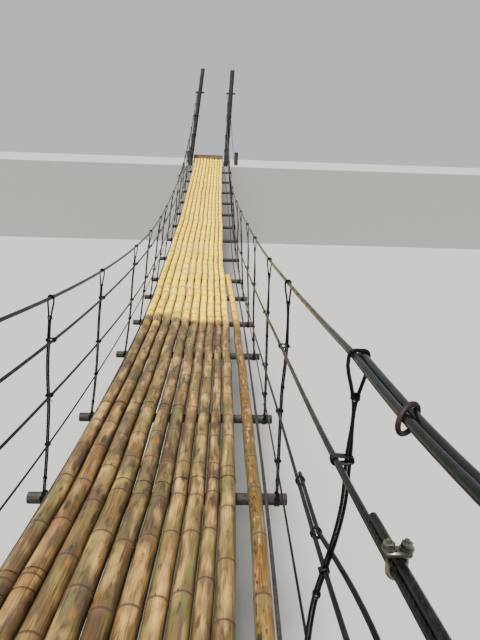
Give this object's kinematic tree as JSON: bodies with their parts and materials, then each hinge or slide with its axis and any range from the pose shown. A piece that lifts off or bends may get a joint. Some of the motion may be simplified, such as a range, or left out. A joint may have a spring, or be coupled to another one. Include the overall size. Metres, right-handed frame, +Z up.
{
  "type": "rope suspension footbridge",
  "caption": "Suspension footbridge with a deck of lengthwise bamboo poles on crossbeams, hung on black cables from leaning timber posts.",
  "frame": {"origin": "middle of the underside of the near bank's sill", "axes": "+X across the bridge to the walker's right, +Y along it to the far bank, +Z up"},
  "size_m": [2.1162, 34.2704, 4.6884],
  "materials": {
    "bamboo": "split and worn poles, sun-bleached, with dark node rings",
    "scuffed_bamboo": "orange-brown pole with dark scuffs",
    "dark_log": "wet, nearly black round timber",
    "weathered_post": "grey weathered round timber",
    "plank": "sawn board, pinkish brown, weathered",
    "black_cable": "black sheathed cable with worn grey-green patches",
    "wire_rope": "dull dark wire rope"
  },
  "bodies": {
    "root": {"anchor_stake_far_left": "weathered_post", "anchor_stake_far_right": "weathered_post", "anchor_stake_near_left": "weathered_post", "anchor_stake_near_right": "weathered_post", "cable_peg_far_left": "dark_log", "cable_peg_far_right": "dark_log", "cable_peg_near_left": "dark_log", "cable_peg_near_right": "dark_log", "crossbeams_far_on_bearer_cables": "dark_log", "crossbeams_middle_on_bearer_cables": "dark_log", "crossbeams_near_on_bearer_cables": "dark_log", "deck_edge_pole": "scuffed_bamboo", "deck_pole_far_01": "bamboo", "deck_pole_far_02": "bamboo", "deck_pole_far_03": "bamboo", "deck_pole_far_04": "bamboo", "deck_pole_far_05": "bamboo", "deck_pole_far_06": "bamboo", "deck_pole_far_07": "bamboo", "deck_pole_far_08": "bamboo", "deck_pole_far_09": "bamboo", "deck_pole_far_10": "bamboo", "deck_pole_near_01": "bamboo", "deck_pole_near_02": "bamboo", "deck_pole_near_03": "bamboo", "deck_pole_near_04": "bamboo", "deck_pole_near_05": "bamboo", "deck_pole_near_06": "bamboo", "deck_pole_near_07": "bamboo", "deck_pole_near_08": "bamboo", "deck_pole_near_09": "bamboo", "deck_pole_near_10": "bamboo", "main_cable_left_far_with_hangers": "black_cable", "main_cable_left_middle_with_hangers": "black_cable", "main_cable_left_near_with_hangers": "black_cable", "main_cable_right_far_with_hangers": "black_cable", "main_cable_right_middle_with_hangers": "black_cable", "main_cable_right_near_with_hangers": "black_cable", "post_far_left": "weathered_post", "post_far_right": "weathered_post", "post_near_left": "weathered_post", "post_near_right": "weathered_post", "side_rope_left_lower": "wire_rope", "side_rope_left_middle": "wire_rope", "side_rope_left_upper": "wire_rope", "side_rope_right_lower": "wire_rope", "side_rope_right_middle": "wire_rope", "side_rope_right_upper": "wire_rope", "sill_far": "dark_log", "sill_near": "dark_log", "threshold_board_far": "plank", "threshold_board_near": "plank"}
  },
  "joints": []
}
